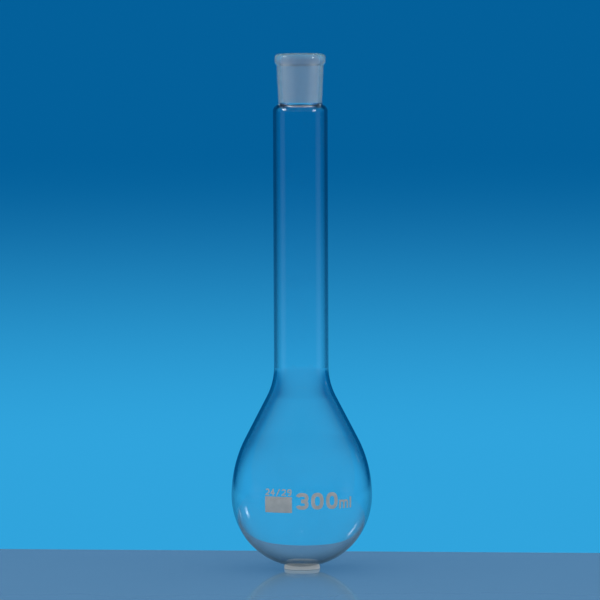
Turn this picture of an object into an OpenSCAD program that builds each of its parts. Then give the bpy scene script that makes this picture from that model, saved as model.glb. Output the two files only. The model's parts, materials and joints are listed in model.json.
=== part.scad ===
// Round-bottom flask with a long neck and a ground socket, standing on a loose rest ring.
// Millimetres. The axis of the flask is +Z and the ring stands on z = 0. The print faces -Y.

/* [Bulb] */
// Outer diameter of the bulb at its widest
bulb_d = 85; // [70:0.5:110]
// Depth of the round bottom below the bulb's widest place
bottom_depth = 43.2; // [35:0.1:55]
// Radius of the side arc that draws the bulb in above its widest place
side_r = 75; // [58:1:110]
// Angle between the axis and the straight cone under the neck
cone_angle = 27.5; // [20:0.5:35]
// Radius of the hollow curve where the cone runs out into the neck
flare_r = 38; // [20:1:60]
// Wall of the bulb
bulb_wall = 1.8; // [1.2:0.1:3]

/* [Neck] */
// Outer diameter of the neck tube
neck_d = 33; // [27.5:0.5:42]
// Wall of the neck tube
neck_wall = 2; // [1.2:0.1:3]
// Height of the flask from the underside of its bulb to its rim
flask_h = 309.5; // [220:1:420]
// Outer radius of the shoulder that closes the neck in towards the socket
shoulder_r = 4; // [3:0.1:6]
// Inner radius of that shoulder
shoulder_in_r = 3; // [1.5:0.1:3.5]
// Radius of the hollow fillet where the socket is sealed on
seal_r = 1; // [0.6:0.1:1.5]
// Radius of the curve that carries the inside of the shoulder up into the socket's bore
seal_in_r = 2.2; // [1.8:0.1:3.6]

/* [Ground socket] */
// Inner diameter of the ground cone at its mouth
ground_d = 24; // [19:0.1:29.2]
// Length of the ground cone
ground_l = 29; // [24:0.5:42]
// Length over which the ground cone narrows by one millimetre
ground_taper = 10; // [10:0.5:20]
// Length of the plain bore between the ground cone and the seal
plain_l = 0.2; // [0.2:0.1:6]
// Wall of the socket at its small end
socket_wall = 2.6; // [1.8:0.1:3]
// Length over which the outside of the socket narrows by one millimetre
socket_taper = 12; // [10:0.5:20]
// Height of the rim bead
rim_h = 7; // [7:0.1:10]
// Distance that the rim bead stands out from the socket
rim_step = 1.2; // [0.8:0.1:1.6]
// Radius of the curve in which the rim bead swells out of the socket
bead_r = 3; // [2:0.1:3.5]
// Width of the flat land on the rim
rim_land = 0.3; // [0.1:0.1:0.5]
// Rounding of the inner edge of the mouth
mouth_r = 0.5; // [0.3:0.1:0.8]

/* [Rest ring] */
// Bore of the ring
ring_bore = 15; // [10:0.5:30]
// Wall of the ring at its foot
ring_wall = 3.4; // [2.8:0.1:6]
// Height of the ring at the rim of its seat
ring_h = 2.2; // [2:0.1:15]
// Distance by which the ring's wall thins from its foot to its top
ring_draft = 0.4; // [0:0.1:0.6]
// Rounding of the outer edges of the ring
ring_edge_r = 0.3; // [0.2:0.1:0.5]
// Width of the land between the seat and the rounded top edge
land_w = 0.1; // [0.1:0.1:1]
// Gap between the bulb and its seat
seat_gap = 0.15; // [0.1:0.05:0.5]

/* [Fired print] */
// Height of the enamel above the glass
enamel_t = 0.1; // [0.05:0.05:0.3]
// Depth to which the enamel is fused into the glass
enamel_sink = 0.05; // [0.05:0.05:0.2]
// Distance along the girth from the front line to the left edge of the capacity figures
figure_start = -3.6; // [-20:0.1:10]
// Height of a capacity figure
figure_h = 10; // [6:0.1:14]
// Width of a capacity figure
figure_w = 7.6; // [5:0.1:10]
// Stroke of a capacity figure
figure_stroke = 2.2; // [1:0.1:2.6]
// Gap between two capacity figures
figure_gap = 1.6; // [0.5:0.1:4]
// Height of the foot of the capacity figures above the bulb's widest place
figure_z = -3.9; // [-10:0.1:4]
// Gap between the capacity figures and the unit letters
unit_gap = 1.1; // [0.5:0.1:4]
// Width of the letter m
letter_w = 6.6; // [4:0.1:8]
// Height of the letter m
letter_h = 5.2; // [3:0.1:7]
// Height of the letter l
ascender_h = 6.6; // [4:0.1:9]
// Stroke of the unit letters
letter_stroke = 1.2; // [0.5:0.1:1.4]
// Gap between the unit letters
letter_gap = 1.2; // [0.4:0.1:3]
// Width of the writing panel
panel_w = 16.9; // [8:0.1:22]
// Height of the writing panel
panel_h = 9.6; // [5:0.1:14]
// Gap between the writing panel and the capacity figures
panel_gap = 2.4; // [1:0.1:6]
// Height of the foot of the writing panel above the bulb's widest place
panel_z = -5.9; // [-10:0.1:0]
// Corner radius of the writing panel
panel_corner_r = 0.4; // [0.2:0.1:2]
// Height of a figure of the joint size
size_h = 4; // [2.5:0.1:5]
// Width of a figure of the joint size
size_w = 2.7; // [1.5:0.1:3.4]
// Stroke of a figure of the joint size
size_stroke = 0.7; // [0.3:0.1:0.8]
// Gap between two figures of the joint size
size_gap = 0.8; // [0.3:0.1:1.5]
// Gap between the writing panel and the joint size above it
size_lift = 0.6; // [0.3:0.1:3]

/* [Hidden] */
$fn = 96;

GLASS = [0.72, 0.86, 0.95, 0.45];
GROUND_GLASS = [0.86, 0.9, 0.93, 0.8];
ENAMEL = [0.8, 0.8, 0.78];
RING_PLASTIC = [0.88, 0.9, 0.9, 0.8];

// Largest turn between two points of an arc of the glass, and of an arc of the print
arc_step = 3.75;
print_step = 10;
// Points nearer to each other than this are one point
same_point = 0.001;
// Lowest angle of the round bottom that the print's skin covers
skin_turn = -45;
// Number of capacity figures, and of signs in the joint size
figure_count = 3;
size_count = 5;
// Power of the print's curves: 2 is an ellipse, and more is squarer
squareness = 2.5;
// Angles at which the strokes of round figures end: at an open end, the neck of a 2 and the tail of a 9
open_turn = 165;
neck_turn = -40;
tail_turn = -120;
// Shares of a figure's size: height of a 4's bar, height of a 9's bowl and reach of a 3's waist
bar_share = 0.26;
bowl_share = 0.6;
waist_share = 0.08;

// Radii of the glass
bulb_r = bulb_d / 2;
neck_r = neck_d / 2;
neck_bore_r = neck_r - neck_wall;
mouth_bore_r = ground_d / 2;
small_bore_r = mouth_bore_r - ground_l / ground_taper / 2;
seal_outer_r = small_bore_r + socket_wall;

// Radii of the ring, and the half axes of the hollow seat, which follows the round bottom
ring_bore_r = ring_bore / 2;
ring_foot_r = ring_bore_r + ring_wall;
ring_top_r = ring_foot_r - ring_draft;
seat_r = ring_top_r - ring_edge_r - land_w;
seat_half_w = bulb_r + seat_gap;
seat_half_h = bottom_depth + seat_gap;

// The bulb's widest place lies so high that the rim of the seat is at the ring's height
bulb_z = ring_h + seat_half_h * sin(seat_turn(seat_r));

// Heights along the axis
rim_z = bulb_z - bottom_depth + flask_h;
ground_top_z = rim_z - mouth_r;
ground_foot_z = ground_top_z - ground_l;
seal_z = ground_foot_z - plain_l;

// The rim bead swells out of the socket at this height and radius, and its rounded top ends at the land
bead_z = rim_z - rim_h;
bead_x = seal_outer_r + (bead_z - ground_foot_z) / socket_taper / 2;
bead_turn = acos(1 - rim_step / bead_r);
rim_outer_r = bead_x + rim_step;
rim_r = rim_outer_r - mouth_bore_r - mouth_r - rim_land;

// The side arc starts at the bulb's widest place, so its centre lies level with the bulb's
side_x = bulb_r - side_r;

// Where the cone leaves the side arc, on the outside and on the inside of the wall
cone_foot = side_point(side_r);
cone_foot_in = side_point(side_r - bulb_wall);

// Height at which the flare has turned upright and the neck begins
neck_z = cone_foot.y + (flare_r - (neck_r + flare_r - cone_foot.x) * cos(cone_angle)) / sin(cone_angle);

// The inner flare meets the neck's bore at the same height
flare_in_r = ((neck_z - cone_foot_in.y) * sin(cone_angle)
              + (neck_bore_r - cone_foot_in.x) * cos(cone_angle)) / (1 - cos(cone_angle));

// Left edges of the print along the girth, and the heights of its lines above the bulb's widest place
figure_pitch = figure_w + figure_gap;
unit_start = figure_start + figure_count * figure_pitch - figure_gap + unit_gap;
panel_start = figure_start - panel_gap - panel_w;
size_pitch = size_w + size_gap;
size_start = panel_start + (panel_w - size_count * size_pitch + size_gap) / 2;
size_z = panel_z + panel_h + size_lift;

// Angle of the seat's oval at distance r from the axis
function seat_turn(r) = acos(r / seat_half_w);

// Point of the side arc at radius r where the cone begins
function side_point(r) = [side_x + r * cos(cone_angle), bulb_z + r * sin(cone_angle)];

// Angles from a to b in even steps, none larger than step
function turns(a, b, step) =
    let (n = ceil(abs(b - a) / step))
    [for (i = [0:n]) a + (b - a) * i / n];

// Points of an oval about c from angle a to angle b, with the half axes rx and ry.
// A power of 2 makes an ellipse, and more makes it squarer.
function oval(c, rx, ry, a, b, step = arc_step, power = 2) =
    [for (t = turns(a, b, step)) c + [rx * bent(cos(t), power), ry * bent(sin(t), power)]];

function bent(v, power) = sign(v) * pow(abs(v), 2 / power);

function arc(c, r, a, b, step = arc_step) = oval(c, r, r, a, b, step);

// Centre line of a round stroke of the print
function bow(c, rx, ry, a, b) = oval(c, rx, ry, a, b, print_step, squareness);

function reversed(list) = [for (i = [len(list) - 1:-1:0]) list[i]];

// Two lines in one, with the point where they meet taken once
function joined(first, second) =
    let (
        gap = norm(second[0] - first[len(first) - 1]),
        start = gap < same_point ? 1 : 0
    )
    concat(first, [for (i = [start:len(second) - 1]) second[i]]);

// Side of the bulb from angle a of its round bottom up to the cone, d outside the glass
function bulb_side(a, d) = joined(
    oval([0, bulb_z], bulb_r + d, bottom_depth + d, a, 0),
    arc([side_x, bulb_z], side_r + d, 0, cone_angle)
);

// Flare with its upright end at radius r and the neck's height
function flare(r, curve_r) = arc([r + curve_r, neck_z], curve_r, 180 + cone_angle, 180);

// Shoulder arc that is upright at wall_r, and the fillet that runs on from it to the seal, upright at end_r
function shoulder(wall_r, curve_r, fillet_r, end_r) =
    let (
        reach = curve_r + fillet_r,
        curve_x = wall_r - curve_r,
        fillet_x = end_r + fillet_r,
        across = max(fillet_x - curve_x, 0),
        turn = acos(across / reach)
    )
    joined(
        arc([curve_x, seal_z - reach * sin(turn)], curve_r, 0, turn),
        arc([fillet_x, seal_z], fillet_r, turn + 180, 180)
    );

// Points beside a path, at distance d to its left
function beside(path, d) =
    [for (i = [0:len(path) - 1])
        let (
            step = path[min(i + 1, len(path) - 1)] - path[max(i - 1, 0)],
            along = step / norm(step)
        )
        path[i] + d * [-along.y, along.x]];

// Body of revolution between an outer and an inner line, both drawn upwards
module revolved(outer, inner, shade) {
    color(shade)
        rotate_extrude()
            polygon(concat(outer, reversed(inner)));
}

module bulb() {
    revolved(
        concat(bulb_side(-90, 0), flare(neck_r, flare_r)),
        concat(bulb_side(-90, -bulb_wall), flare(neck_bore_r, flare_in_r)),
        GLASS
    );
}

module neck_tube() {
    revolved(
        concat([[neck_r, neck_z]], shoulder(neck_r, shoulder_r, seal_r, seal_outer_r)),
        concat([[neck_bore_r, neck_z]], shoulder(neck_bore_r, shoulder_in_r, seal_in_r, small_bore_r)),
        GLASS
    );
}

module ground_socket() {
    revolved(
        concat(
            [[seal_outer_r, seal_z], [seal_outer_r, ground_foot_z]],
            joined(
                arc([rim_outer_r - bead_r, bead_z + bead_r * sin(bead_turn)], bead_r, -bead_turn, 0),
                arc([rim_outer_r - rim_r, rim_z - rim_r], rim_r, 0, 90)
            )
        ),
        concat(
            [[small_bore_r, seal_z], [small_bore_r, ground_foot_z]],
            arc([mouth_bore_r + mouth_r, ground_top_z], mouth_r, 180, 90)
        ),
        GROUND_GLASS
    );
}

module rest_ring() {
    revolved(
        concat(
            arc([ring_foot_r - ring_edge_r, ring_edge_r], ring_edge_r, -90, 0),
            arc([ring_top_r - ring_edge_r, ring_h - ring_edge_r], ring_edge_r, 0, 90)
        ),
        concat(
            [[ring_bore_r, 0]],
            oval([0, bulb_z], seat_half_w, seat_half_h, -seat_turn(ring_bore_r), -seat_turn(seat_r))
        ),
        RING_PLASTIC
    );
}

// Flat shape fired onto the bulb, with its origin at distance s along the girth and height z
module fired(s, z) {
    color(ENAMEL)
        intersection() {
            rotate_extrude()
                polygon(concat(
                    bulb_side(skin_turn, enamel_t),
                    reversed(bulb_side(skin_turn, -enamel_sink))
                ));
            rotate(s / bulb_r * 180 / PI)
                translate([0, 0, bulb_z + z])
                    rotate([90, 0, 0])
                        linear_extrude(bulb_d)
                            children();
        }
}

module stroke(path, t) {
    polygon(concat(beside(path, t / 2), reversed(beside(path, -t / 2))));
}

// Closed oval stroke about c with the outer half axes rx and ry
module loop(c, rx, ry, t) {
    difference() {
        polygon(bow(c, rx, ry, 0, 360 - print_step));
        polygon(bow(c, rx - t, ry - t, 0, 360 - print_step));
    }
}

// Figures stand on y = 0 and are centred on x = 0, w wide and h high with strokes t
module figure_0(w, h, t) {
    loop([0, h / 2], w / 2, h / 2, t);
}

module figure_2(w, h, t) {
    bowl_r = (w - t) / 2;
    bowl = [0, h - t / 2 - bowl_r];
    stroke(concat(bow(bowl, bowl_r, bowl_r, open_turn, neck_turn), [[-bowl_r, t / 2]]), t);
    translate([-w / 2, 0])
        square([w, t]);
}

module figure_3(w, h, t) {
    bowl_rx = (w - t) / 2;
    bowl_ry = (h - t) / 4;
    waist = [[-w * waist_share, h / 2]];
    stroke(concat(bow([0, h / 2 + bowl_ry], bowl_rx, bowl_ry, open_turn, -90), waist), t);
    stroke(concat(waist, bow([0, h / 2 - bowl_ry], bowl_rx, bowl_ry, 90, -open_turn)), t);
}

module figure_4(w, h, t) {
    stem_x = w / 2 - 2 * t;
    translate([stem_x, 0])
        square([t, h]);
    translate([-w / 2, h * bar_share])
        square([w, t]);
    stroke([[stem_x + t / 2, h - t / 2], [(t - w) / 2, h * bar_share + t / 2]], t);
}

module figure_9(w, h, t) {
    bowl_ry = h * bowl_share / 2;
    bowl_y = h - bowl_ry;
    loop([0, bowl_y], w / 2, bowl_ry, t);
    stroke(bow([0, bowl_y], (w - t) / 2, bowl_y - t / 2, 0, tail_turn), t);
}

module slash(w, h, t) {
    stroke([[(t - w) / 2, 0], [(w - t) / 2, h]], t);
}

module letter_m(w, h, t) {
    arch_r = (w - t) / 4;
    arch_y = h - t / 2 - arch_r;
    translate([-w / 2, 0])
        square([t, h]);
    for (side = [-1, 1]) {
        arch = bow([side * arch_r, arch_y], arch_r, arch_r, 180, 0);
        stroke(concat(arch, [[(side + 1) * arch_r, 0]]), t);
    }
}

module capacity_figures() {
    fired(figure_start + figure_w / 2, figure_z) figure_3(figure_w, figure_h, figure_stroke);
    for (place = [1:figure_count - 1])
        fired(figure_start + place * figure_pitch + figure_w / 2, figure_z)
            figure_0(figure_w, figure_h, figure_stroke);
}

module unit_letters() {
    fired(unit_start + letter_w / 2, figure_z) letter_m(letter_w, letter_h, letter_stroke);
    fired(unit_start + letter_w + letter_gap, figure_z) square([letter_stroke, ascender_h]);
}

module writing_panel() {
    low = panel_corner_r;
    right = panel_w - panel_corner_r;
    top = panel_h - panel_corner_r;
    corners = [[right, top], [low, top], [low, low], [right, low]];
    outline = [for (i = [0:3]) each arc(corners[i], panel_corner_r, i * 90, i * 90 + 90, print_step)];
    fired(panel_start + panel_w / 2, panel_z)
        translate([-panel_w / 2, 0])
            polygon(outline);
}

module joint_size_mark() {
    for (place = [0:size_count - 1])
        fired(size_start + place * size_pitch + size_w / 2, size_z) {
            if (place == 0 || place == 3) figure_2(size_w, size_h, size_stroke);
            if (place == 1) figure_4(size_w, size_h, size_stroke);
            if (place == 2) slash(size_w, size_h, size_stroke);
            if (place == 4) figure_9(size_w, size_h, size_stroke);
        }
}

bulb();
neck_tube();
ground_socket();
capacity_figures();
unit_letters();
writing_panel();
joint_size_mark();
rest_ring();
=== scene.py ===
# %% [markdown]
# # A long-necked glass flask on its rest ring
#
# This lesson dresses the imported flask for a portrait. The frame brings eight pieces with their places and
# their two bodies: the loose ring, and the flask that lifts off it. Everything is in metres, with the flask's
# axis along +Z and the ring's underside at z = 0. Glass shows nothing of itself: what we see is how its walls
# bend the light behind them, so the shapes are turned finely, and the studio is planned together with the
# glass.

# %% Load the frame
import json
import math

import bmesh
import bpy
from mathutils import Matrix, Vector


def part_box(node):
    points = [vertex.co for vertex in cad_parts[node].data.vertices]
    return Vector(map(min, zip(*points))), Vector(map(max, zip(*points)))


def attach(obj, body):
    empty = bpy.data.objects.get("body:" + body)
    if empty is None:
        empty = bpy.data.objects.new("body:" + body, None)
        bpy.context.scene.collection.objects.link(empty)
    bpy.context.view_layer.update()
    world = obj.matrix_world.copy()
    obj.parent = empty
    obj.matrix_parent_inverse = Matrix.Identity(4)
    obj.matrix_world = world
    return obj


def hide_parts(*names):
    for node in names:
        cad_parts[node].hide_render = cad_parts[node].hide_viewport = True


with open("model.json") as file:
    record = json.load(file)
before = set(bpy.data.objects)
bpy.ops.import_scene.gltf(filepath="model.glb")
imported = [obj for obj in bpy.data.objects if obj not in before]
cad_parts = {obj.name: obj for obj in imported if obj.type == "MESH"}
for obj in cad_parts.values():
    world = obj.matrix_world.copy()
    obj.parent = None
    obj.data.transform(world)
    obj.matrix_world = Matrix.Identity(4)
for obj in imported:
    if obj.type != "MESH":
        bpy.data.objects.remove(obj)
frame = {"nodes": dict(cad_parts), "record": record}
scene = bpy.context.scene
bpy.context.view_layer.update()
MM = 0.001

# %% [markdown]
# ## The camera
#
# The flask was photographed from a good distance with a long lens, a little above its middle, so its sides
# stay almost parallel. Distance, height, angle of view and tilt were worked out from the outline: how much
# the rim's oval opens, where the bulb is widest, and how high the foot stands in the picture. A camera that
# is guessed by eye would leave the whole picture in doubt, so it comes first.

# %% Set up the camera
PICTURE = 600
FOCAL_PX = 4614.4
CAMERA_PLACE = Vector((0, -2.770, 0.365))
CAMERA_TILT = math.radians(-4.183)
CAMERA_ROLL = -0.0040
CENTRE_OFF_PX = 0.99

camera = bpy.data.objects.new("camera", bpy.data.cameras.new("camera"))
scene.collection.objects.link(camera)
camera.data.lens = camera.data.sensor_width * FOCAL_PX / PICTURE
camera.data.shift_x = -CENTRE_OFF_PX / PICTURE
camera.matrix_world = (
    Matrix.Translation(CAMERA_PLACE)
    @ Matrix.Rotation(math.pi / 2 + CAMERA_TILT, 4, "X")
    @ Matrix.Rotation(CAMERA_ROLL, 4, "Z")
)
scene.camera = camera
print("lens", round(camera.data.lens, 1), "mm")

# %% [markdown]
# ## Writing node trees as sums
#
# Shader and geometry nodes are plain arithmetic drawn as boxes. A small class that holds one socket lets us
# write that arithmetic as Python: `1 - mask` adds the Math node and its links. Every other kind of node comes
# from one method, which takes the node's type, then its settings, then the values or wires for its sockets.

# %% A wire to write node maths with
class Wire:
    """One output of a node. Sums of wires and numbers add Math nodes to the tree."""

    def __init__(self, tree, socket=None):
        self.tree = tree
        self.socket = socket

    def node(self, kind, settings=None, inputs=None, output=0):
        made = self.tree.nodes.new(kind)
        for name, value in (settings or {}).items():
            setattr(made, name, value)
        for place, value in (inputs or {}).items():
            if isinstance(value, Wire):
                self.tree.links.new(value.socket, made.inputs[place])
            else:
                made.inputs[place].default_value = value
        return Wire(self.tree, made.outputs[output] if made.outputs else None)

    def out(self, name):
        """Another output of the same node."""
        return Wire(self.tree, self.socket.node.outputs[name])

    def math(self, operation, *values):
        return self.node("ShaderNodeMath", {"operation": operation}, dict(enumerate(values)))

    def __add__(self, other):
        return self.math("ADD", self, other)

    def __sub__(self, other):
        return self.math("SUBTRACT", self, other)

    def __rsub__(self, other):
        return self.math("SUBTRACT", other, self)

    def __mul__(self, other):
        return self.math("MULTIPLY", self, other)

    def __truediv__(self, other):
        return self.math("DIVIDE", self, other)

    def __rtruediv__(self, other):
        return self.math("DIVIDE", other, self)

    __radd__ = __add__
    __rmul__ = __mul__

    def ease(self, start, end, first, last):
        """Goes smoothly from first to last while this wire goes from start to end."""
        return self.node(
            "ShaderNodeMapRange",
            {"interpolation_type": "SMOOTHSTEP"},
            {"Value": self, "From Min": start, "From Max": end, "To Min": first, "To Max": last},
        )

    def blend(self, first, second):
        """The colour first where this wire is 0, and second where it is 1."""
        return self.node("ShaderNodeMix", {"data_type": "RGBA"}, {0: self, 6: first, 7: second}, 2)

    def stretched(self, scale):
        """This vector times scale, axis by axis."""
        return self.node("ShaderNodeVectorMath", {"operation": "MULTIPLY"}, {0: self, 1: scale})

    def noise(self, size, detail=2.0):
        """Soft noise from 0 to 1 with grains about size metres wide, at this place."""
        return self.node(
            "ShaderNodeTexNoise", None, {"Vector": self, "Scale": 1 / size, "Detail": detail}
        )

    def bump(self, depth, strength=1.0):
        """A bumped normal from this height, where 1 stands depth metres up."""
        return self.node("ShaderNodeBump", None, {"Strength": strength, "Distance": depth, "Height": self})


# %% Begin and end a material
def new_material(name):
    """An empty material, and a wire with the Object coordinates of the piece."""
    material = bpy.data.materials.new(name)
    material.use_nodes = True
    material.node_tree.nodes.clear()
    place = Wire(material.node_tree).node("ShaderNodeTexCoord").out("Object")
    return material, place


def surface(material, shader):
    """Ends the material in this shader."""
    shader.node("ShaderNodeOutputMaterial", None, {"Surface": shader})
    print("finish", material.name, len(material.node_tree.nodes), "nodes")
    return material


# %% [markdown]
# ## Clear glass
#
# The bulb and the neck are borosilicate glass, drawn and blown in a flame. It is clear, with a refractive
# index of 1.473, but never quite even: drawing leaves faint lines along the tube, blowing leaves slow swells,
# and handling leaves a breath of haze. A Principled shader with full transmission gives the clear body. Two
# noises make a bump of a hundredth of a millimetre, enough to let a highlight waver: swells everywhere, and
# lines only where the glass is still the tube it was drawn as. A third noise moves the roughness a little.
#
# Where we look along the outer wall, light has a long way to go through the glass, so a Layer Weight deepens
# its colour there. That deep blue is partly the long path and mostly painted shade, for the dark surroundings
# that the edge bends into view. The neck is narrow for its wall, so that begins nearer to its middle than on
# the bulb. The socket's wall fills with the light that its ground face scatters, so there the edge is painted
# a warm grey instead: painted light for that glow. Each of the three has a finish of its own, and the inside
# of the wall is the same glass without a deeper edge. Rays from the lamps pass straight through, since Cycles
# would otherwise give clear glass a shadow as black as iron's.

# %% Clear glass
GLASS_INDEX = 1.473
CLEAR_TINT = (0.97, 0.99, 1, 1)
HAZE_TINT = (0.94, 0.965, 0.98, 1)
# Painted shade: the deep blue that the outer wall's edges turn to, for the dark surroundings bent into view,
# partly the real long path through the glass
EDGE_SHADE_TINT = (0.04, 0.085, 0.13, 1)
# Painted light: the warm grey that the socket's wall turns to at its edges, for the light its ground face
# scatters
SOCKET_EDGE_LIGHT_TINT = (0.85, 0.7, 0.52, 1)
LAMP_TINT = (0.88, 0.9, 0.91, 1)
TUBE_FROM, TUBE_TO = 0.12, 0.15
LINE_WIDTH = 0.0016
LINE_STRETCH = (1, 1, 0.02)
SWELL_WIDTH = 0.018
LINE_SHARE, SWELL_SHARE = 0.2, 0.6
GLASS_DEPTH = 1.5e-5
HAZE_WIDTH = 0.03
HAZE_FROM, HAZE_TO = 0.5, 0.75
GLASS_ROUGH, HAZE_ROUGH = 0.004, 0.02


def lamps_pass(glass):
    """The shader glass, but only a tint to rays from the lamps, so that light reaches what is behind it."""
    lamp_ray = glass.node("ShaderNodeLightPath").out("Is Shadow Ray")
    tinted = glass.node("ShaderNodeBsdfTransparent", None, {"Color": LAMP_TINT})
    return glass.node("ShaderNodeMixShader", None, {0: lamp_ray, 1: glass, 2: tinted})


def clear_glass(name, edge_shade_tint, edge_from, edge_to):
    """Glass whose colour turns to the given edge colour as its wall turns from edge_from to edge_to: 0 faces
    us, 1 is edge on. On the bulb and neck that colour is painted edge shade, on the socket painted light.
    """
    material, place = new_material(name)
    height = place.node("ShaderNodeSeparateXYZ", None, {0: place}).out("Z")
    lines = height.ease(TUBE_FROM, TUBE_TO, 0.0, LINE_SHARE) * place.stretched(LINE_STRETCH).noise(LINE_WIDTH)
    swell = place.noise(SWELL_WIDTH, detail=1.0)
    haze = place.noise(HAZE_WIDTH, detail=3.0).ease(HAZE_FROM, HAZE_TO, 0.0, 1.0)
    facing = place.node("ShaderNodeLayerWeight", None, {"Blend": 0.5}).out("Facing")
    # Where the wall turns edge on, the glass takes the painted edge colour
    edge = facing.ease(edge_from, edge_to, 0.0, 1.0)
    relief = lines + SWELL_SHARE * swell
    glass = place.node(
        "ShaderNodeBsdfPrincipled",
        None,
        {
            "Base Color": edge.blend(haze.blend(CLEAR_TINT, HAZE_TINT), edge_shade_tint),
            "Roughness": GLASS_ROUGH + HAZE_ROUGH * haze,
            "IOR": GLASS_INDEX,
            "Transmission Weight": 1.0,
            "Normal": relief.bump(GLASS_DEPTH),
        },
    )
    return surface(material, lamps_pass(glass))


BULB_GLASS = clear_glass("bulb_glass", EDGE_SHADE_TINT, 0.4, 0.85)
NECK_GLASS = clear_glass("neck_glass", EDGE_SHADE_TINT, 0.25, 0.62)
SOCKET_GLASS = clear_glass("socket_glass", SOCKET_EDGE_LIGHT_TINT, 0.15, 0.7)
INNER_GLASS = clear_glass("inner_glass", CLEAR_TINT, 0.0, 1.0)

# %% [markdown]
# ## Ground glass
#
# Inside the socket the glass is ground with fine grit to a cone that seals against a stopper's cone. The
# scratched surface scatters light, so the socket looks milky while its outside is as smooth as the rest. Only
# the inner face takes this finish. Rough transmission blurs what lies behind the socket into a veil, a small
# share of the light scatters back from the grit, and a greyed colour keeps the veil from outshining the
# backdrop. The grit's rings show as fine noise that is short along the axis and long around it.

# %% Ground glass
GROUND_DARK = (0.5, 0.51, 0.51, 1)
GROUND_PALE = (0.62, 0.62, 0.61, 1)
GROUND_CLEAR = 0.96
GROUND_ROUGH, GRIT_ROUGH = 0.28, 0.08
GRIT_WIDTH = 0.0004
GRIT_DEPTH = 4e-5
RINGS_WIDTH = 0.0006
RINGS_STRETCH = (0.05, 0.05, 1)
RINGS_SHARE = 0.5


def ground_glass():
    material, place = new_material("ground_glass")
    grit = place.noise(GRIT_WIDTH, detail=3.0)
    rings = place.stretched(RINGS_STRETCH).noise(RINGS_WIDTH)
    relief = grit + RINGS_SHARE * rings
    glass = place.node(
        "ShaderNodeBsdfPrincipled",
        None,
        {
            "Base Color": rings.blend(GROUND_DARK, GROUND_PALE),
            "Roughness": GROUND_ROUGH + GRIT_ROUGH * grit,
            "IOR": GLASS_INDEX,
            "Transmission Weight": GROUND_CLEAR,
            "Normal": relief.bump(GRIT_DEPTH, strength=0.6),
        },
    )
    return surface(material, lamps_pass(glass))


GROUND_GLASS = ground_glass()

# %% [markdown]
# ## Where glass was sealed to glass
#
# Bulb, neck and socket were melted together, and a good seal can't be seen. As pieces of their own they are
# closed shells, so each ends in a flat face inside the wall. Left as glass, those faces would mirror light
# like a crack. They get a finish with no alpha, which lets light pass as if the wall went on.

# %% The unseen seal
SEAL_TINT = (0.95, 0.97, 0.98, 1)
SEAL_CLOUD = 0.01


def unseen_seal():
    material, place = new_material("unseen_seal")
    tint = place.noise(SEAL_CLOUD).blend(CLEAR_TINT, SEAL_TINT)
    return surface(material, place.node("ShaderNodeBsdfPrincipled", None, {"Base Color": tint, "Alpha": 0.0}))


UNSEEN_SEAL = unseen_seal()

# %% [markdown]
# ## Milky plastic
#
# The rest ring is a short moulded ring of milky plastic. Light enters it and wanders, so its thin edges look
# bright and its body whitish. Transmission for a part of the light and a white body for the rest give that
# look, and a soft noise keeps the moulding from looking perfect.

# %% Milky plastic
PLASTIC_DARK = (0.7, 0.72, 0.72, 1)
PLASTIC_PALE = (0.8, 0.82, 0.81, 1)
PLASTIC_INDEX = 1.49
PLASTIC_CLEAR = 0.35
PLASTIC_ROUGH, CLOUD_ROUGH = 0.3, 0.12
PLASTIC_CLOUD = 0.004
DIMPLE_WIDTH = 0.003
DIMPLE_DEPTH = 1e-5


def milky_plastic():
    material, place = new_material("milky_plastic")
    cloud = place.noise(PLASTIC_CLOUD)
    dimples = place.noise(DIMPLE_WIDTH)
    plastic = place.node(
        "ShaderNodeBsdfPrincipled",
        None,
        {
            "Base Color": cloud.blend(PLASTIC_DARK, PLASTIC_PALE),
            "Roughness": PLASTIC_ROUGH + CLOUD_ROUGH * cloud,
            "IOR": PLASTIC_INDEX,
            "Transmission Weight": PLASTIC_CLEAR,
            "Normal": dimples.bump(DIMPLE_DEPTH, strength=0.3),
        },
    )
    return surface(material, lamps_pass(plastic))


MILKY_PLASTIC = milky_plastic()

# %% [markdown]
# ## A lathe made of nodes
#
# All the glass, and the ring, are bodies of revolution: one line, drawn once, turned about the axis. Spin in
# Edit mode would do it, but the line's parts also carry a finish each. So a Geometry Nodes tree does the
# turning. It lays out a grid with one row for each point of the line, asks for the point's place by its
# index, and turns it by the column's angle. Each face keeps the finish of the piece of line that it grew
# from, and sharp corners stay sharp.

# %% The lathe
FINISHES = ("Outside", "Inside", "Ground", "Joint")
SAME_NUMBER = 0.1


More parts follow.
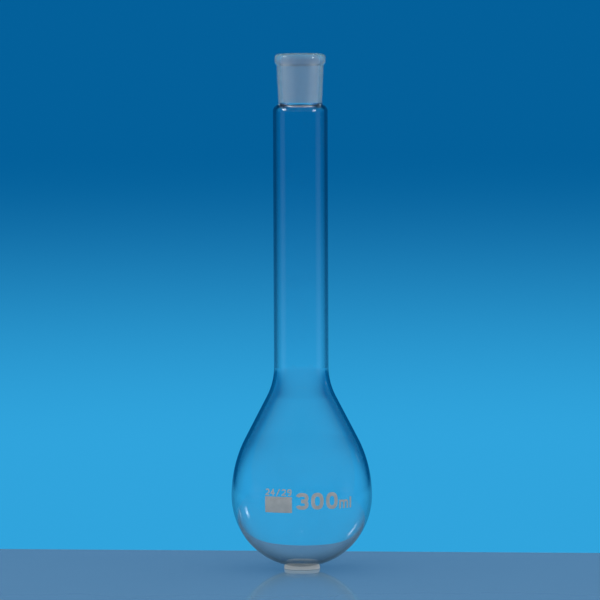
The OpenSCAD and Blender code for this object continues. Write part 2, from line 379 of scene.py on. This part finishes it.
def lathe_tree():
    tree = bpy.data.node_groups.new("lathe", "GeometryNodeTree")
    inputs = [("Line", "Geometry"), ("Segments", "Int"), ("Weld", "Float"), ("Crease", "Float")]
    for name, kind in inputs + [(finish, "Material") for finish in FINISHES]:
        tree.interface.new_socket(name, in_out="INPUT", socket_type="NodeSocket" + kind)
    tree.interface.new_socket("Piece", in_out="OUTPUT", socket_type="NodeSocketGeometry")

    given = Wire(tree).node("NodeGroupInput")
    line, segments = given.out("Line"), given.out("Segments")
    points = line.node("GeometryNodeAttributeDomainSize", None, {0: line}).out("Point Count")
    columns = segments + 1
    sheet = line.node("GeometryNodeMeshGrid", None, {"Vertices X": points, "Vertices Y": columns})
    index = line.node("GeometryNodeInputIndex")

    def from_line(kind, value, at):
        return line.node("GeometryNodeSampleIndex", {"data_type": kind}, {0: line, 1: value, 2: at})

    # The finish of the line's piece under each face
    finish = line.node("GeometryNodeInputNamedAttribute", {"data_type": "INT"}, {0: "finish"})
    under = from_line("INT", finish, (index / segments).math("FLOOR", index / segments))
    sheet = sheet.node(
        "GeometryNodeStoreNamedAttribute",
        {"data_type": "INT", "domain": "FACE"},
        {0: sheet, "Name": "finish", 3: under},
    )

    # Each point of the line, turned by its column's share of a full turn
    row = (index / columns).math("FLOOR", index / columns)
    turn = (index - row * columns) * math.tau / segments
    place = from_line("FLOAT_VECTOR", line.node("GeometryNodeInputPosition"), row)
    split = place.node("ShaderNodeSeparateXYZ", None, {0: place})
    radius, height = split.out("X"), split.out("Z")
    turned = place.node(
        "ShaderNodeCombineXYZ",
        None,
        {0: radius * turn.math("COSINE", turn), 1: radius * turn.math("SINE", turn), 2: height},
    )
    sheet = sheet.node("GeometryNodeSetPosition", None, {0: sheet, "Position": turned})
    sheet = sheet.node("GeometryNodeMergeByDistance", None, {0: sheet, "Distance": given.out("Weld")})

    # Smooth walls with sharp corners
    sheet = sheet.node("GeometryNodeSetShadeSmooth", {"domain": "FACE"}, {0: sheet, "Shade Smooth": True})
    angle = sheet.node("GeometryNodeInputMeshEdgeAngle")
    corner = angle.math("GREATER_THAN", angle, given.out("Crease"))
    sheet = sheet.node(
        "GeometryNodeSetShadeSmooth",
        {"domain": "EDGE"},
        {0: sheet, "Selection": corner, "Shade Smooth": False},
    )

    # Plain geometry, and the material of each finish
    sheet = sheet.node("GeometryNodeRealizeInstances", None, {0: sheet})
    kept = sheet.node("GeometryNodeInputNamedAttribute", {"data_type": "INT"}, {0: "finish"})
    for number, name in enumerate(FINISHES):
        here = kept.math("COMPARE", kept, number, SAME_NUMBER)
        sheet = sheet.node("GeometryNodeSetMaterial", None, {0: sheet, 1: here, 2: given.out(name)})
    sheet.node("NodeGroupOutput", None, {0: sheet})
    print("lathe", len(tree.nodes), "nodes")
    return tree


LATHE = lathe_tree()

# %% [markdown]
# ## From a line to a piece
#
# A piece begins as a bare line of points, each with the number of its finish. The lathe turns it, and the
# result is kept as a plain mesh, so that what is handed on no longer needs the node tree. Turning a line can
# leave faces that look inwards, so the normals are worked out anew. Open edges are counted as well: a closed
# wall of glass has none. A second helper lets the piece ride on its body in place of the CAD node. Two more
# draw arcs and join stretches of line, which is all that the outlines of this flask need.

# %% Turn a line into a piece
BULB_FINISHES = (BULB_GLASS, INNER_GLASS, GROUND_GLASS, UNSEEN_SEAL)
NECK_FINISHES = (NECK_GLASS, INNER_GLASS, GROUND_GLASS, UNSEEN_SEAL)
SOCKET_FINISHES = (SOCKET_GLASS, INNER_GLASS, GROUND_GLASS, UNSEEN_SEAL)
SEGMENTS = 256
WELD = 1e-6
CREASE = math.radians(20)


def turned_piece(name, line, materials):
    """line lists (r, z, finish) in mm, where finish belongs to the stretch from that point to the next."""
    blank = bpy.data.meshes.new(name)
    points = [(r * MM, 0, z * MM) for r, z, _ in line]
    blank.from_pydata(points, [(i, i + 1) for i in range(len(points) - 1)], [])
    finish = blank.attributes.new("finish", "INT", "POINT")
    finish.data.foreach_set("value", [FINISHES.index(f) for _, _, f in line])
    piece = bpy.data.objects.new(name, blank)
    scene.collection.objects.link(piece)

    lathe = piece.modifiers.new("lathe", "NODES")
    lathe.node_group = LATHE
    values = {"Segments": SEGMENTS, "Weld": WELD, "Crease": CREASE, **dict(zip(FINISHES, materials))}
    for item in LATHE.interface.items_tree:
        if item.name in values:
            lathe[item.identifier] = values[item.name]
    graph = bpy.context.evaluated_depsgraph_get()
    mesh = bpy.data.meshes.new_from_object(piece.evaluated_get(graph), depsgraph=graph)
    piece.modifiers.remove(lathe)
    piece.data = mesh

    shell = bmesh.new()
    shell.from_mesh(mesh)
    bmesh.ops.recalc_face_normals(shell, faces=shell.faces)
    shell.to_mesh(mesh)
    loose = sum(1 for edge in shell.edges if not edge.is_manifold)
    print(name, len(mesh.polygons), "faces,", loose, "open edges,", round(shell.calc_volume() / MM**3), "mm3")
    shell.free()
    return piece


# %% Hand a piece to its body
def hand_over(piece, body, node):
    """Lets the piece ride on its body in place of the CAD node, and prints how well the two boxes agree."""
    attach(piece, body)
    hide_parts(node)
    low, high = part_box(node)
    off = 0
    for axis, along in enumerate(zip(*piece.bound_box)):
        off = max(off, abs(min(along) - low[axis]), abs(max(along) - high[axis]))
    print(piece.name, "for", node, "within", round(off / MM, 3), "mm")


# %% Draw arcs and join stretches of line
SAME_POINT = 0.001


def arc(centre, radii, start, end, step=1.5):
    """Points of an oval about centre from angle start to angle end, about step apart, all in degrees."""
    count = max(2, math.ceil(abs(end - start) / step))
    turns = [math.radians(start + (end - start) * i / count) for i in range(count + 1)]
    return [(centre[0] + radii[0] * math.cos(t), centre[1] + radii[1] * math.sin(t)) for t in turns]


def finished(finish, *stretches):
    """The points of all stretches in one list, each with its finish, without points that repeat."""
    points = []
    for stretch in stretches:
        for point in stretch:
            if not points or math.dist(point, points[-1][:2]) > SAME_POINT:
                points.append((*point, finish))
    return points


# %% [markdown]
# ## The bulb
#
# The bulb is the vessel: a round bottom that is a touch deeper than a ball, sides that draw in on a larger
# arc, a short straight cone and a hollow flare into the neck. A sphere with a stretched top would miss the
# pear shape, so the line follows those four parts, first up the outside and then down the inside, one wall
# apart. The sizes of all turned pieces are in millimetres.

# %% Turn the bulb
bulb_low, bulb_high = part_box("bulb")
BULB_R = 42.5
BOTTOM_DEPTH = 43.2
SIDE_R = 75
CONE_ANGLE = 27.5
FLARE_R = 38
BULB_WALL = 1.8
NECK_R = next(m["dims"]["r_mm"] for m in frame["record"]["mounts"] if m["name"] == "neck_grip")
NECK_WALL = 2
NECK_BORE_R = NECK_R - NECK_WALL
NECK_Z = bulb_high.z / MM
BULB_Z = bulb_low.z / MM + BOTTOM_DEPTH

cone = math.radians(CONE_ANGLE)
cone_in_r = BULB_R - SIDE_R + (SIDE_R - BULB_WALL) * math.cos(cone)
cone_in_z = BULB_Z + (SIDE_R - BULB_WALL) * math.sin(cone)
rise, step_in = NECK_Z - cone_in_z, NECK_BORE_R - cone_in_r
FLARE_IN_R = (rise * math.sin(cone) + step_in * math.cos(cone)) / (1 - math.cos(cone))


def bulb_line(wall, flare_r, neck_r):
    """The bulb's side from the axis at its bottom up to the neck, wall inside its outer face."""
    return (
        arc((0, BULB_Z), (BULB_R - wall, BOTTOM_DEPTH - wall), -90, 0),
        arc((BULB_R - SIDE_R, BULB_Z), (SIDE_R - wall, SIDE_R - wall), 0, CONE_ANGLE),
        arc((neck_r + flare_r, NECK_Z), (flare_r, flare_r), 180 + CONE_ANGLE, 180),
    )


outside = finished("Outside", *bulb_line(0, FLARE_R, NECK_R))
inside = finished("Inside", *bulb_line(BULB_WALL, FLARE_IN_R, NECK_BORE_R))
outside[-1] = (*outside[-1][:2], "Joint")
bulb = turned_piece("bulb_glass", outside + inside[::-1], BULB_FINISHES)
hand_over(bulb, "flask", "bulb")

# %% [markdown]
# ## The neck
#
# The neck is a straight length of tube. At its top the tube closes in over a rounded shoulder, and a small
# hollow fillet carries it up to the socket that was sealed on. The inside has two arcs of its own, since
# molten glass gathers at a seal and fills the inner corner. The shoulder is where a lamp shows as a bright
# point, so all four arcs are turned finely. The two ends of the tube are joints.

# %% Turn the neck
socket_low, socket_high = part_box("ground_socket")
SEAL_Z = socket_low.z / MM
RIM_Z = socket_high.z / MM
SHOULDER_R = 4
SHOULDER_IN_R = 3
SEAL_R = 1
SEAL_IN_R = 2.2
SOCKET_WALL = 2.6
SMALL_BORE_R = 10.55
SEAL_OUTER_R = SMALL_BORE_R + SOCKET_WALL


def shoulder_line(wall_r, curve_r, fillet_r, end_r):
    """The upright wall at wall_r, the shoulder's arc, and the fillet that runs on to the seal at end_r."""
    reach = curve_r + fillet_r
    curve_x, fillet_x = wall_r - curve_r, end_r + fillet_r
    turn = math.acos((fillet_x - curve_x) / reach)
    curve_z = SEAL_Z - reach * math.sin(turn)
    return (
        [(wall_r, NECK_Z)],
        arc((curve_x, curve_z), (curve_r, curve_r), 0, math.degrees(turn)),
        arc((fillet_x, SEAL_Z), (fillet_r, fillet_r), math.degrees(turn) + 180, 180),
    )


outside = finished("Outside", *shoulder_line(NECK_R, SHOULDER_R, SEAL_R, SEAL_OUTER_R))
inside = finished("Inside", *shoulder_line(NECK_BORE_R, SHOULDER_IN_R, SEAL_IN_R, SMALL_BORE_R))
outside[-1] = (*outside[-1][:2], "Joint")
inside[0] = (*inside[0][:2], "Joint")
neck = turned_piece("neck_glass", outside + inside[::-1] + outside[:1], NECK_FINISHES)
hand_over(neck, "flask", "neck_tube")

# %% [markdown]
# ## The ground socket
#
# The socket takes the cone of a stopper or a condenser: 24 mm across at the mouth, 29 mm long, narrowing by
# one in ten. Its outside narrows a little less than the cone, and a rim bead swells out of it to strengthen
# the mouth. The line changes its finish where it turns over the mouth's rounded edge into the cone, and back
# to clear below the cone's foot.

# %% Turn the socket
MOUTH_R = 12
GROUND_L = 29
SOCKET_TAPER = 12
RIM_H = 7
RIM_STEP = 1.2
BEAD_R = 3
RIM_LAND = 0.3
MOUTH_EDGE_R = 0.5
MOUTH_STEP = 5
GROUND_TOP_Z = RIM_Z - MOUTH_EDGE_R
GROUND_FOOT_Z = GROUND_TOP_Z - GROUND_L
bead_z = RIM_Z - RIM_H
rim_outer_r = SEAL_OUTER_R + (bead_z - GROUND_FOOT_Z) / SOCKET_TAPER / 2 + RIM_STEP
rim_r = rim_outer_r - MOUTH_R - MOUTH_EDGE_R - RIM_LAND
mouth_centre = (MOUTH_R + MOUTH_EDGE_R, GROUND_TOP_Z)
bead_turn = math.acos(1 - RIM_STEP / BEAD_R)
bead_centre = (rim_outer_r - BEAD_R, bead_z + BEAD_R * math.sin(bead_turn))

outside = finished(
    "Outside",
    [(SEAL_OUTER_R, SEAL_Z), (SEAL_OUTER_R, GROUND_FOOT_Z)],
    arc(bead_centre, (BEAD_R, BEAD_R), -math.degrees(bead_turn), 0, step=3),
    arc((rim_outer_r - rim_r, RIM_Z - rim_r), (rim_r, rim_r), 0, 90, step=3),
    arc(mouth_centre, (MOUTH_EDGE_R, MOUTH_EDGE_R), 90, 180 - MOUTH_STEP, step=MOUTH_STEP),
)
inside = [
    (MOUTH_R, GROUND_TOP_Z, "Ground"),
    (SMALL_BORE_R, GROUND_FOOT_Z, "Inside"),
    (SMALL_BORE_R, SEAL_Z, "Joint"),
]
socket = turned_piece("socket_glass", outside + inside + outside[:1], SOCKET_FINISHES)
hand_over(socket, "flask", "ground_socket")

# %% [markdown]
# ## The rest ring
#
# A round bottom can't stand, so the flask sits in a low ring. Its seat is hollowed to the bulb's own curve, a
# hair's breadth clear of it, its outside leans in a little as a mould needs, and its outer edges are rounded.

# %% Turn the ring
RING_BORE_R = 7.5
RING_FOOT_R = 10.9
RING_TOP_R = 10.5
RING_H = 2.2
RING_EDGE_R = 0.3
SEAT_R = 10.1
SEAT_GAP = 0.15
seat = (BULB_R + SEAT_GAP, BOTTOM_DEPTH + SEAT_GAP)


def seat_turn(r):
    """The angle at which the hollow of the seat is r wide."""
    return -math.degrees(math.acos(r / seat[0]))


ring_points = finished(
    "Outside",
    [(RING_BORE_R, 0)],
    arc((RING_FOOT_R - RING_EDGE_R, RING_EDGE_R), (RING_EDGE_R, RING_EDGE_R), -90, 0, step=10),
    arc((RING_TOP_R - RING_EDGE_R, RING_H - RING_EDGE_R), (RING_EDGE_R, RING_EDGE_R), 0, 90, step=10),
    arc((0, BULB_Z), seat, seat_turn(SEAT_R), seat_turn(RING_BORE_R), step=0.4),
    [(RING_BORE_R, 0)],
)
ring = turned_piece("ring_plastic", ring_points, (MILKY_PLASTIC,) * len(FINISHES))
hand_over(ring, "ring", "rest_ring")

# %% [markdown]
# ## The fired print
#
# Figures, letters and the field to write on are white enamel, printed through a screen and fired on. The
# frame already holds their exact shapes, bent to the bulb, so each is copied, its loose triangles are merged,
# and its faces are shaded smoothly up to the print's sharp edge. Enamel is a thin glaze: a little uneven from
# the screen, satin rather than glossy, with grains that stand up about a hundredth of a millimetre. Its
# colour here is a mid grey rather than white, painted shade for the dim light that the print stands in.

# %% Fired enamel
# Painted shade: the white enamel is set to a mid grey for the dim light it stands in; the step between the
# two greys is the screen's real unevenness
ENAMEL_SHADED_DARK = (0.34, 0.37, 0.38, 1)
ENAMEL_SHADED_PALE = (0.42, 0.45, 0.46, 1)
ENAMEL_INDEX = 1.5
ENAMEL_ROUGH, GRAIN_ROUGH = 0.4, 0.2
ENAMEL_CLOUD = 0.005
GRAIN_WIDTH = 0.00035
GRAIN_DEPTH = 2e-5
CLOUD_SHARE, GRAIN_SHARE = 0.6, 0.4
TONE_FROM, TONE_TO = 0.3, 0.7


def fired_enamel():
    material, place = new_material("fired_enamel")
    grain = place.noise(GRAIN_WIDTH)
    cloud = place.noise(ENAMEL_CLOUD)
    tone = (CLOUD_SHARE * cloud + GRAIN_SHARE * grain).ease(TONE_FROM, TONE_TO, 0.0, 1.0)
    enamel = place.node(
        "ShaderNodeBsdfPrincipled",
        None,
        {
            "Base Color": tone.blend(ENAMEL_SHADED_DARK, ENAMEL_SHADED_PALE),
            "Roughness": ENAMEL_ROUGH + GRAIN_ROUGH * grain,
            "IOR": ENAMEL_INDEX,
            "Normal": grain.bump(GRAIN_DEPTH, strength=0.7),
        },
    )
    return surface(material, enamel)


FIRED_ENAMEL = fired_enamel()


# %% Print the four pieces
def printed_piece(name, node):
    """A merged, smoothly shaded copy of a printed CAD node, in enamel."""
    print_shape = bmesh.new()
    print_shape.from_mesh(frame["nodes"][node].data)
    bmesh.ops.remove_doubles(print_shape, verts=print_shape.verts, dist=WELD)
    for face in print_shape.faces:
        face.smooth = True
        face.material_index = 0
    for edge in print_shape.edges:
        edge.smooth = edge.calc_face_angle(0) < CREASE
    mesh = bpy.data.meshes.new(name)
    print_shape.to_mesh(mesh)
    print(name, len(mesh.polygons), "faces")
    print_shape.free()
    mesh.materials.append(FIRED_ENAMEL)
    piece = bpy.data.objects.new(name, mesh)
    scene.collection.objects.link(piece)
    hand_over(piece, "flask", node)


printed_piece("figures_enamel", "capacity_figures")
printed_piece("letters_enamel", "unit_letters")
printed_piece("panel_enamel", "writing_panel")
printed_piece("size_enamel", "joint_size_mark")

# %% [markdown]
# ## The floor
#
# A plain, lightly polished table in a pale blue carries the flask's shadow and a soft mirror image. Its far
# edge lies eight centimetres behind the flask and runs a little askew. A floor that fades out would be easier
# to place, but the round bottom bends that edge up into a bow, which looks like the level of a liquid and
# tells that the bulb is empty glass. One face is enough for it, a hair below the ring.

# %% Lay the floor
FLOOR_COLOUR = (0.15, 0.29, 0.43, 1)
FLOOR_LIFT = 1.03
FLOOR_MOTTLE = 0.05
FLOOR_ROUGH, MOTTLE_ROUGH = 0.04, 0.02
FLOOR_BACK = 0.081
FLOOR_SKEW = 0.067
FLOOR_REACH = 0.8
FLOOR_DROP = 0.02 * MM


def pale_floor():
    material, place = new_material("pale_floor")
    mottle = place.noise(FLOOR_MOTTLE, detail=3.0)
    paler = tuple(FLOOR_LIFT * c for c in FLOOR_COLOUR[:3]) + (1,)
    table = place.node(
        "ShaderNodeBsdfPrincipled",
        None,
        {
            "Base Color": mottle.blend(FLOOR_COLOUR, paler),
            "Roughness": FLOOR_ROUGH + MOTTLE_ROUGH * mottle,
        },
    )
    return surface(material, table)


floor_mesh = bpy.data.meshes.new("floor")
front = [(-FLOOR_REACH, -FLOOR_REACH, 0), (FLOOR_REACH, -FLOOR_REACH, 0)]
back = [(FLOOR_REACH, FLOOR_BACK - FLOOR_SKEW, 0), (-FLOOR_REACH, FLOOR_BACK + FLOOR_SKEW, 0)]
floor_mesh.from_pydata(front + back, [], [(0, 1, 2, 3)])
floor_mesh.materials.append(pale_floor())
floor = bpy.data.objects.new("floor", floor_mesh)
floor.location.z = -FLOOR_DROP
scene.collection.objects.link(floor)
print("floor ends", FLOOR_BACK, "m behind the flask")

# %% [markdown]
# ## The studio
#
# Glass shows what lies behind it, so the backdrop is a part of its look. Here the world is the backdrop: blue
# paper that is lit near the table and deepens higher up. Rays that look at it directly and rays that come by
# way of glass or a mirror see the same blue, so the glass stays clear from all sides. Towards the ceiling the
# blue grows dark, and the shoulder and the rim, which mirror the ceiling, get a dark stroke from it. Diffuse
# rays get plain even light.

# %% Build the studio
BLUE_HIGH = (0.001, 0.117, 0.325, 1)
BLUE_LOW = (0.03, 0.37, 0.72, 1)
BLUE_FROM, BLUE_TO = -0.105, -0.04
CEILING_SHADE = 0.2
CEILING_FROM, CEILING_TO = 0.1, 0.5
EVEN_LIGHT = 1.1

world = bpy.data.worlds.new("studio")
scene.world = world
world.use_nodes = True
world.node_tree.nodes.clear()
toward = Wire(world.node_tree).node("ShaderNodeTexCoord").out("Generated")
height = toward.node("ShaderNodeSeparateXYZ", None, {0: toward}).out("Z")
ray = toward.node("ShaderNodeLightPath")
direct, mirrored, through = ray.out("Is Camera Ray"), ray.out("Is Glossy Ray"), ray.out("Is Transmission Ray")
blue = height.ease(BLUE_FROM, BLUE_TO, 0.0, 1.0).blend(BLUE_LOW, BLUE_HIGH)
strength = height.ease(CEILING_FROM, CEILING_TO, 1.0, CEILING_SHADE)
backdrop = toward.node("ShaderNodeBackground", None, {"Color": blue, "Strength": strength})
light = toward.node("ShaderNodeBackground", None, {"Color": (1, 1, 1, 1), "Strength": EVEN_LIGHT})
seen = direct.math("MAXIMUM", direct, mirrored.math("MAXIMUM", mirrored, through))
sky = toward.node("ShaderNodeMixShader", None, {0: seen, 1: light, 2: backdrop})
sky.node("ShaderNodeOutputWorld", None, {"Surface": sky})
print("studio", len(world.node_tree.nodes), "nodes")

# %% [markdown]
# ## The lamps
#
# Glass mirrors the whole shape of a lamp, so one large softbox from above would lie on the bulb as a broad
# pale patch. Two softboxes stand low beside the table and look slightly upward: the neck mirrors them as two
# long bands, while the table, which their light does not reach, stays plain. Rays that come through glass
# skip them, or they would shine through the flask when it is seen from the side.
#
# The other lamps are small, and each is aimed at one place: two at the bright points on the shoulder, two
# from behind at the seal under the socket and the line under the rim, and two low ones at the streaks on the
# flanks of the bulb. Each stands where the eye's ray goes after that spot has mirrored or bent it. The four
# that stand behind work by bent rays only, so mirrored rays skip them and the table shows no image of them.

# %% Hang the lamps
def lamp(name, aim, side_angle, height_angle, distance, size, spread, power):
    """An area lamp side_angle round to the right from the camera and height_angle up, seen from aim."""
    light = bpy.data.lights.new(name, "AREA")
    light.shape = "RECTANGLE"
    light.size, light.size_y = size
    light.spread = math.radians(spread)
    light.energy = power
    stand = bpy.data.objects.new(name, light)
    side, up = math.radians(side_angle), math.radians(height_angle)
    toward_lamp = Vector((math.sin(side) * math.cos(up), -math.cos(side) * math.cos(up), math.sin(up)))
    stand.location = aim + distance * toward_lamp
    stand.rotation_euler = (-toward_lamp).to_track_quat("-Z", "Y").to_euler()
    stand.visible_camera = False
    scene.collection.objects.link(stand)
    print(name, [round(v, 2) for v in stand.location])
    return stand


MIDDLE = Vector((0, 0, 0.2))
SHOULDER = Vector((0, 0, 0.28))
LEFT_FLANK = Vector((-0.034, 0.02, 0.03))
RIGHT_FLANK = Vector((0.03, 0.018, 0.021))

# In each row: name, aim, degrees to the right, degrees up, distance, size, spread in degrees, power in watts
SOFTBOXES = (
    ("softbox_left", MIDDLE, -80, -10, 1.1, (0.6, 0.5), 40, 0.018),
    ("softbox_right", MIDDLE, 80, -10, 1.1, (0.6, 0.5), 40, 0.018),
)
LAMPS_BESIDE = (
    ("accent_left", SHOULDER, -84, 30, 0.35, (0.15, 0.12), 24, 0.016),
    ("accent_right", SHOULDER, 63, 19, 0.35, (0.1, 0.13), 24, 0.011),
)
LAMPS_BEHIND = (
    ("accent_back", SHOULDER, 180, 64, 0.15, (0.1, 0.065), 28, 0.0021),
    ("accent_low", SHOULDER, 180, 42, 0.35, (0.17, 0.1), 24, 0.0016),
    ("streak_left", LEFT_FLANK, 122, 11, 0.5, (0.06, 0.14), 12, 0.0006),
    ("streak_right", RIGHT_FLANK, -142, 18, 0.5, (0.05, 0.24), 14, 0.0008),
)
for row in SOFTBOXES:
    lamp(*row).visible_transmission = False
for row in LAMPS_BESIDE:
    lamp(*row)
for row in LAMPS_BEHIND:
    lamp(*row).visible_glossy = False

# %% [markdown]
# ## Colours
#
# The Standard view transform shows a colour as it is written.

# %% Finish
scene.view_settings.view_transform = "Standard"
